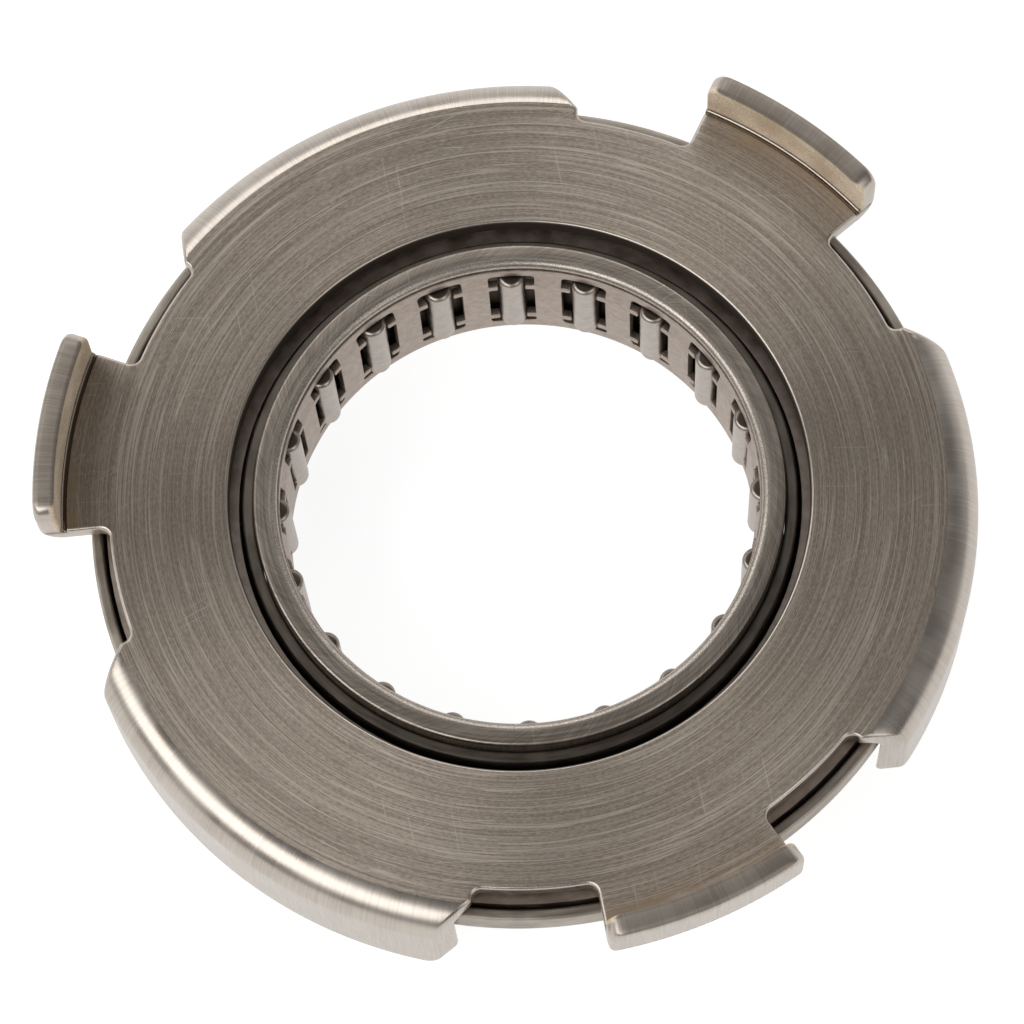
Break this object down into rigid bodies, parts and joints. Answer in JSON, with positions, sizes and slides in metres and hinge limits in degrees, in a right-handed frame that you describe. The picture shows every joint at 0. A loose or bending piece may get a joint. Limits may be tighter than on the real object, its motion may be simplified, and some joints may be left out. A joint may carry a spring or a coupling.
{
  "type": "combined thrust and needle bearing",
  "caption": "Flat bearing that takes thrust on caged rollers between two pressed races, with a caged needle ring in its bore for the shaft; bent lugs locate it in a housing.",
  "frame": {"origin": "on the bearing axis, in the plane of the ground face on top of the upper race", "axes": "+Z along the bearing axis, out of the ground face; one lug points along +Y"},
  "size_m": [0.0734, 0.0753, 0.0171],
  "materials": {
    "ground_steel": "ground face with concentric marks, satin rims",
    "pressed_steel": "satin, drawn",
    "cage_steel": "satin, phosphated tan",
    "ring_steel": "disc ground",
    "roller_steel": "lapped, satin"
  },
  "bodies": {
    "upper_race": {"upper_race": "ground_steel"},
    "lower_race": {"lower_race": "pressed_steel"},
    "thrust_cage": {"thrust_cage_top": "cage_steel", "thrust_cage_bottom": "cage_steel"},
    "needle_ring": {"needle_ring": "ring_steel"},
    "needle_cage": {"needle_cage": "cage_steel"},
    "thrust_roller_01": {"thrust_roller_01": "roller_steel"},
    "thrust_roller_02": {"thrust_roller_02": "roller_steel"},
    "thrust_roller_03": {"thrust_roller_03": "roller_steel"},
    "thrust_roller_04": {"thrust_roller_04": "roller_steel"},
    "thrust_roller_05": {"thrust_roller_05": "roller_steel"},
    "thrust_roller_06": {"thrust_roller_06": "roller_steel"},
    "thrust_roller_07": {"thrust_roller_07": "roller_steel"},
    "thrust_roller_08": {"thrust_roller_08": "roller_steel"},
    "thrust_roller_09": {"thrust_roller_09": "roller_steel"},
    "thrust_roller_10": {"thrust_roller_10": "roller_steel"},
    "thrust_roller_11": {"thrust_roller_11": "roller_steel"},
    "thrust_roller_12": {"thrust_roller_12": "roller_steel"},
    "thrust_roller_13": {"thrust_roller_13": "roller_steel"},
    "thrust_roller_14": {"thrust_roller_14": "roller_steel"},
    "thrust_roller_15": {"thrust_roller_15": "roller_steel"},
    "thrust_roller_16": {"thrust_roller_16": "roller_steel"},
    "thrust_roller_17": {"thrust_roller_17": "roller_steel"},
    "thrust_roller_18": {"thrust_roller_18": "roller_steel"},
    "thrust_roller_19": {"thrust_roller_19": "roller_steel"},
    "thrust_roller_20": {"thrust_roller_20": "roller_steel"},
    "thrust_roller_21": {"thrust_roller_21": "roller_steel"},
    "thrust_roller_22": {"thrust_roller_22": "roller_steel"},
    "thrust_roller_23": {"thrust_roller_23": "roller_steel"},
    "thrust_roller_24": {"thrust_roller_24": "roller_steel"},
    "needle_01": {"needle_01": "roller_steel"},
    "needle_02": {"needle_02": "roller_steel"},
    "needle_03": {"needle_03": "roller_steel"},
    "needle_04": {"needle_04": "roller_steel"},
    "needle_05": {"needle_05": "roller_steel"},
    "needle_06": {"needle_06": "roller_steel"},
    "needle_07": {"needle_07": "roller_steel"},
    "needle_08": {"needle_08": "roller_steel"},
    "needle_09": {"needle_09": "roller_steel"},
    "needle_10": {"needle_10": "roller_steel"},
    "needle_11": {"needle_11": "roller_steel"},
    "needle_12": {"needle_12": "roller_steel"},
    "needle_13": {"needle_13": "roller_steel"},
    "needle_14": {"needle_14": "roller_steel"},
    "needle_15": {"needle_15": "roller_steel"},
    "needle_16": {"needle_16": "roller_steel"},
    "needle_17": {"needle_17": "roller_steel"},
    "needle_18": {"needle_18": "roller_steel"},
    "needle_19": {"needle_19": "roller_steel"},
    "needle_20": {"needle_20": "roller_steel"}
  },
  "joints": [
    {"name": "lower_race_spin", "type": "hinge", "parent": "upper_race", "child": "lower_race", "pos_m": [0, 0, 0], "axis": [0, 0, 1], "continuous": true},
    {"name": "thrust_cage_spin", "type": "hinge", "parent": "upper_race", "child": "thrust_cage", "pos_m": [0, 0, 0], "axis": [0, 0, 1], "continuous": true},
    {"name": "needle_ring_spin", "type": "hinge", "parent": "upper_race", "child": "needle_ring", "pos_m": [0, 0, 0], "axis": [0, 0, 1], "continuous": true},
    {"name": "needle_cage_spin", "type": "hinge", "parent": "needle_ring", "child": "needle_cage", "pos_m": [0, 0, 0], "axis": [0, 0, 1], "continuous": true},
    {"name": "thrust_roller_01_spin", "type": "hinge", "parent": "thrust_cage", "child": "thrust_roller_01", "pos_m": [0.02707, 0.00725, -0.00383], "axis": [0.9659, 0.2588, 0], "continuous": true},
    {"name": "thrust_roller_02_spin", "type": "hinge", "parent": "thrust_cage", "child": "thrust_roller_02", "pos_m": [0.02427, 0.01401, -0.00383], "axis": [0.866, 0.5, 0], "continuous": true},
    {"name": "thrust_roller_03_spin", "type": "hinge", "parent": "thrust_cage", "child": "thrust_roller_03", "pos_m": [0.01982, 0.01982, -0.00383], "axis": [0.7071, 0.7071, 0], "continuous": true},
    {"name": "thrust_roller_04_spin", "type": "hinge", "parent": "thrust_cage", "child": "thrust_roller_04", "pos_m": [0.01401, 0.02427, -0.00383], "axis": [0.5, 0.866, 0], "continuous": true},
    {"name": "thrust_roller_05_spin", "type": "hinge", "parent": "thrust_cage", "child": "thrust_roller_05", "pos_m": [0.00725, 0.02707, -0.00383], "axis": [0.2588, 0.9659, 0], "continuous": true},
    {"name": "thrust_roller_06_spin", "type": "hinge", "parent": "thrust_cage", "child": "thrust_roller_06", "pos_m": [0, 0.02803, -0.00383], "axis": [0, 1, 0], "continuous": true},
    {"name": "thrust_roller_07_spin", "type": "hinge", "parent": "thrust_cage", "child": "thrust_roller_07", "pos_m": [-0.00725, 0.02707, -0.00383], "axis": [-0.2588, 0.9659, 0], "continuous": true},
    {"name": "thrust_roller_08_spin", "type": "hinge", "parent": "thrust_cage", "child": "thrust_roller_08", "pos_m": [-0.01401, 0.02427, -0.00383], "axis": [-0.5, 0.866, 0], "continuous": true},
    {"name": "thrust_roller_09_spin", "type": "hinge", "parent": "thrust_cage", "child": "thrust_roller_09", "pos_m": [-0.01982, 0.01982, -0.00383], "axis": [-0.7071, 0.7071, 0], "continuous": true},
    {"name": "thrust_roller_10_spin", "type": "hinge", "parent": "thrust_cage", "child": "thrust_roller_10", "pos_m": [-0.02427, 0.01401, -0.00383], "axis": [-0.866, 0.5, 0], "continuous": true},
    {"name": "thrust_roller_11_spin", "type": "hinge", "parent": "thrust_cage", "child": "thrust_roller_11", "pos_m": [-0.02707, 0.00725, -0.00383], "axis": [-0.9659, 0.2588, 0], "continuous": true},
    {"name": "thrust_roller_12_spin", "type": "hinge", "parent": "thrust_cage", "child": "thrust_roller_12", "pos_m": [-0.02803, 0, -0.00383], "axis": [-1, 0, 0], "continuous": true},
    {"name": "thrust_roller_13_spin", "type": "hinge", "parent": "thrust_cage", "child": "thrust_roller_13", "pos_m": [-0.02707, -0.00725, -0.00383], "axis": [-0.9659, -0.2588, 0], "continuous": true},
    {"name": "thrust_roller_14_spin", "type": "hinge", "parent": "thrust_cage", "child": "thrust_roller_14", "pos_m": [-0.02427, -0.01401, -0.00383], "axis": [-0.866, -0.5, 0], "continuous": true},
    {"name": "thrust_roller_15_spin", "type": "hinge", "parent": "thrust_cage", "child": "thrust_roller_15", "pos_m": [-0.01982, -0.01982, -0.00383], "axis": [-0.7071, -0.7071, 0], "continuous": true},
    {"name": "thrust_roller_16_spin", "type": "hinge", "parent": "thrust_cage", "child": "thrust_roller_16", "pos_m": [-0.01401, -0.02427, -0.00383], "axis": [-0.5, -0.866, 0], "continuous": true},
    {"name": "thrust_roller_17_spin", "type": "hinge", "parent": "thrust_cage", "child": "thrust_roller_17", "pos_m": [-0.00725, -0.02707, -0.00383], "axis": [-0.2588, -0.9659, 0], "continuous": true},
    {"name": "thrust_roller_18_spin", "type": "hinge", "parent": "thrust_cage", "child": "thrust_roller_18", "pos_m": [0, -0.02803, -0.00383], "axis": [0, -1, 0], "continuous": true},
    {"name": "thrust_roller_19_spin", "type": "hinge", "parent": "thrust_cage", "child": "thrust_roller_19", "pos_m": [0.00725, -0.02707, -0.00383], "axis": [0.2588, -0.9659, 0], "continuous": true},
    {"name": "thrust_roller_20_spin", "type": "hinge", "parent": "thrust_cage", "child": "thrust_roller_20", "pos_m": [0.01401, -0.02427, -0.00383], "axis": [0.5, -0.866, 0], "continuous": true},
    {"name": "thrust_roller_21_spin", "type": "hinge", "parent": "thrust_cage", "child": "thrust_roller_21", "pos_m": [0.01982, -0.01982, -0.00383], "axis": [0.7071, -0.7071, 0], "continuous": true},
    {"name": "thrust_roller_22_spin", "type": "hinge", "parent": "thrust_cage", "child": "thrust_roller_22", "pos_m": [0.02427, -0.01401, -0.00383], "axis": [0.866, -0.5, 0], "continuous": true},
    {"name": "thrust_roller_23_spin", "type": "hinge", "parent": "thrust_cage", "child": "thrust_roller_23", "pos_m": [0.02707, -0.00725, -0.00383], "axis": [0.9659, -0.2588, 0], "continuous": true},
    {"name": "thrust_roller_24_spin", "type": "hinge", "parent": "thrust_cage", "child": "thrust_roller_24", "pos_m": [0.02803, 0, -0.00383], "axis": [1, 0, 0], "continuous": true},
    {"name": "needle_01_spin", "type": "hinge", "parent": "needle_cage", "child": "needle_01", "pos_m": [0.01825, 0.00715, -0.0065], "axis": [0, 0, 1], "continuous": true},
    {"name": "needle_02_spin", "type": "hinge", "parent": "needle_cage", "child": "needle_02", "pos_m": [0.01515, 0.01244, -0.0065], "axis": [0, 0, 1], "continuous": true},
    {"name": "needle_03_spin", "type": "hinge", "parent": "needle_cage", "child": "needle_03", "pos_m": [0.01056, 0.01651, -0.0065], "axis": [0, 0, 1], "continuous": true},
    {"name": "needle_04_spin", "type": "hinge", "parent": "needle_cage", "child": "needle_04", "pos_m": [0.00494, 0.01897, -0.0065], "axis": [0, 0, 1], "continuous": true},
    {"name": "needle_05_spin", "type": "hinge", "parent": "needle_cage", "child": "needle_05", "pos_m": [-0.00116, 0.01957, -0.0065], "axis": [0, 0, 1], "continuous": true},
    {"name": "needle_06_spin", "type": "hinge", "parent": "needle_cage", "child": "needle_06", "pos_m": [-0.00715, 0.01825, -0.0065], "axis": [0, 0, 1], "continuous": true},
    {"name": "needle_07_spin", "type": "hinge", "parent": "needle_cage", "child": "needle_07", "pos_m": [-0.01244, 0.01515, -0.0065], "axis": [0, 0, 1], "continuous": true},
    {"name": "needle_08_spin", "type": "hinge", "parent": "needle_cage", "child": "needle_08", "pos_m": [-0.01651, 0.01056, -0.0065], "axis": [0, 0, 1], "continuous": true},
    {"name": "needle_09_spin", "type": "hinge", "parent": "needle_cage", "child": "needle_09", "pos_m": [-0.01897, 0.00494, -0.0065], "axis": [0, 0, 1], "continuous": true},
    {"name": "needle_10_spin", "type": "hinge", "parent": "needle_cage", "child": "needle_10", "pos_m": [-0.01957, -0.00116, -0.0065], "axis": [0, 0, 1], "continuous": true},
    {"name": "needle_11_spin", "type": "hinge", "parent": "needle_cage", "child": "needle_11", "pos_m": [-0.01825, -0.00715, -0.0065], "axis": [0, 0, 1], "continuous": true},
    {"name": "needle_12_spin", "type": "hinge", "parent": "needle_cage", "child": "needle_12", "pos_m": [-0.01515, -0.01244, -0.0065], "axis": [0, 0, 1], "continuous": true},
    {"name": "needle_13_spin", "type": "hinge", "parent": "needle_cage", "child": "needle_13", "pos_m": [-0.01056, -0.01651, -0.0065], "axis": [0, 0, 1], "continuous": true},
    {"name": "needle_14_spin", "type": "hinge", "parent": "needle_cage", "child": "needle_14", "pos_m": [-0.00494, -0.01897, -0.0065], "axis": [0, 0, 1], "continuous": true},
    {"name": "needle_15_spin", "type": "hinge", "parent": "needle_cage", "child": "needle_15", "pos_m": [0.00116, -0.01957, -0.0065], "axis": [0, 0, 1], "continuous": true},
    {"name": "needle_16_spin", "type": "hinge", "parent": "needle_cage", "child": "needle_16", "pos_m": [0.00715, -0.01825, -0.0065], "axis": [0, 0, 1], "continuous": true},
    {"name": "needle_17_spin", "type": "hinge", "parent": "needle_cage", "child": "needle_17", "pos_m": [0.01244, -0.01515, -0.0065], "axis": [0, 0, 1], "continuous": true},
    {"name": "needle_18_spin", "type": "hinge", "parent": "needle_cage", "child": "needle_18", "pos_m": [0.01651, -0.01056, -0.0065], "axis": [0, 0, 1], "continuous": true},
    {"name": "needle_19_spin", "type": "hinge", "parent": "needle_cage", "child": "needle_19", "pos_m": [0.01897, -0.00494, -0.0065], "axis": [0, 0, 1], "continuous": true},
    {"name": "needle_20_spin", "type": "hinge", "parent": "needle_cage", "child": "needle_20", "pos_m": [0.01957, 0.00116, -0.0065], "axis": [0, 0, 1], "continuous": true}
  ],
  "couplings": [
    {"joint": "thrust_cage_spin", "follows": "lower_race_spin", "ratio": 0.5},
    {"joint": "thrust_roller_01_spin", "follows": "lower_race_spin", "ratio": 7.0075},
    {"joint": "thrust_roller_02_spin", "follows": "lower_race_spin", "ratio": 7.0075},
    {"joint": "thrust_roller_03_spin", "follows": "lower_race_spin", "ratio": 7.0075},
    {"joint": "thrust_roller_04_spin", "follows": "lower_race_spin", "ratio": 7.0075},
    {"joint": "thrust_roller_05_spin", "follows": "lower_race_spin", "ratio": 7.0075},
    {"joint": "thrust_roller_06_spin", "follows": "lower_race_spin", "ratio": 7.0075},
    {"joint": "thrust_roller_07_spin", "follows": "lower_race_spin", "ratio": 7.0075},
    {"joint": "thrust_roller_08_spin", "follows": "lower_race_spin", "ratio": 7.0075},
    {"joint": "thrust_roller_09_spin", "follows": "lower_race_spin", "ratio": 7.0075},
    {"joint": "thrust_roller_10_spin", "follows": "lower_race_spin", "ratio": 7.0075},
    {"joint": "thrust_roller_11_spin", "follows": "lower_race_spin", "ratio": 7.0075},
    {"joint": "thrust_roller_12_spin", "follows": "lower_race_spin", "ratio": 7.0075},
    {"joint": "thrust_roller_13_spin", "follows": "lower_race_spin", "ratio": 7.0075},
    {"joint": "thrust_roller_14_spin", "follows": "lower_race_spin", "ratio": 7.0075},
    {"joint": "thrust_roller_15_spin", "follows": "lower_race_spin", "ratio": 7.0075},
    {"joint": "thrust_roller_16_spin", "follows": "lower_race_spin", "ratio": 7.0075},
    {"joint": "thrust_roller_17_spin", "follows": "lower_race_spin", "ratio": 7.0075},
    {"joint": "thrust_roller_18_spin", "follows": "lower_race_spin", "ratio": 7.0075},
    {"joint": "thrust_roller_19_spin", "follows": "lower_race_spin", "ratio": 7.0075},
    {"joint": "thrust_roller_20_spin", "follows": "lower_race_spin", "ratio": 7.0075},
    {"joint": "thrust_roller_21_spin", "follows": "lower_race_spin", "ratio": 7.0075},
    {"joint": "thrust_roller_22_spin", "follows": "lower_race_spin", "ratio": 7.0075},
    {"joint": "thrust_roller_23_spin", "follows": "lower_race_spin", "ratio": 7.0075},
    {"joint": "thrust_roller_24_spin", "follows": "lower_race_spin", "ratio": 7.0075},
    {"joint": "needle_01_spin", "follows": "needle_cage_spin", "ratio": -18.845},
    {"joint": "needle_02_spin", "follows": "needle_cage_spin", "ratio": -18.845},
    {"joint": "needle_03_spin", "follows": "needle_cage_spin", "ratio": -18.845},
    {"joint": "needle_04_spin", "follows": "needle_cage_spin", "ratio": -18.845},
    {"joint": "needle_05_spin", "follows": "needle_cage_spin", "ratio": -18.845},
    {"joint": "needle_06_spin", "follows": "needle_cage_spin", "ratio": -18.845},
    {"joint": "needle_07_spin", "follows": "needle_cage_spin", "ratio": -18.845},
    {"joint": "needle_08_spin", "follows": "needle_cage_spin", "ratio": -18.845},
    {"joint": "needle_09_spin", "follows": "needle_cage_spin", "ratio": -18.845},
    {"joint": "needle_10_spin", "follows": "needle_cage_spin", "ratio": -18.845},
    {"joint": "needle_11_spin", "follows": "needle_cage_spin", "ratio": -18.845},
    {"joint": "needle_12_spin", "follows": "needle_cage_spin", "ratio": -18.845},
    {"joint": "needle_13_spin", "follows": "needle_cage_spin", "ratio": -18.845},
    {"joint": "needle_14_spin", "follows": "needle_cage_spin", "ratio": -18.845},
    {"joint": "needle_15_spin", "follows": "needle_cage_spin", "ratio": -18.845},
    {"joint": "needle_16_spin", "follows": "needle_cage_spin", "ratio": -18.845},
    {"joint": "needle_17_spin", "follows": "needle_cage_spin", "ratio": -18.845},
    {"joint": "needle_18_spin", "follows": "needle_cage_spin", "ratio": -18.845},
    {"joint": "needle_19_spin", "follows": "needle_cage_spin", "ratio": -18.845},
    {"joint": "needle_20_spin", "follows": "needle_cage_spin", "ratio": -18.845}
  ]
}
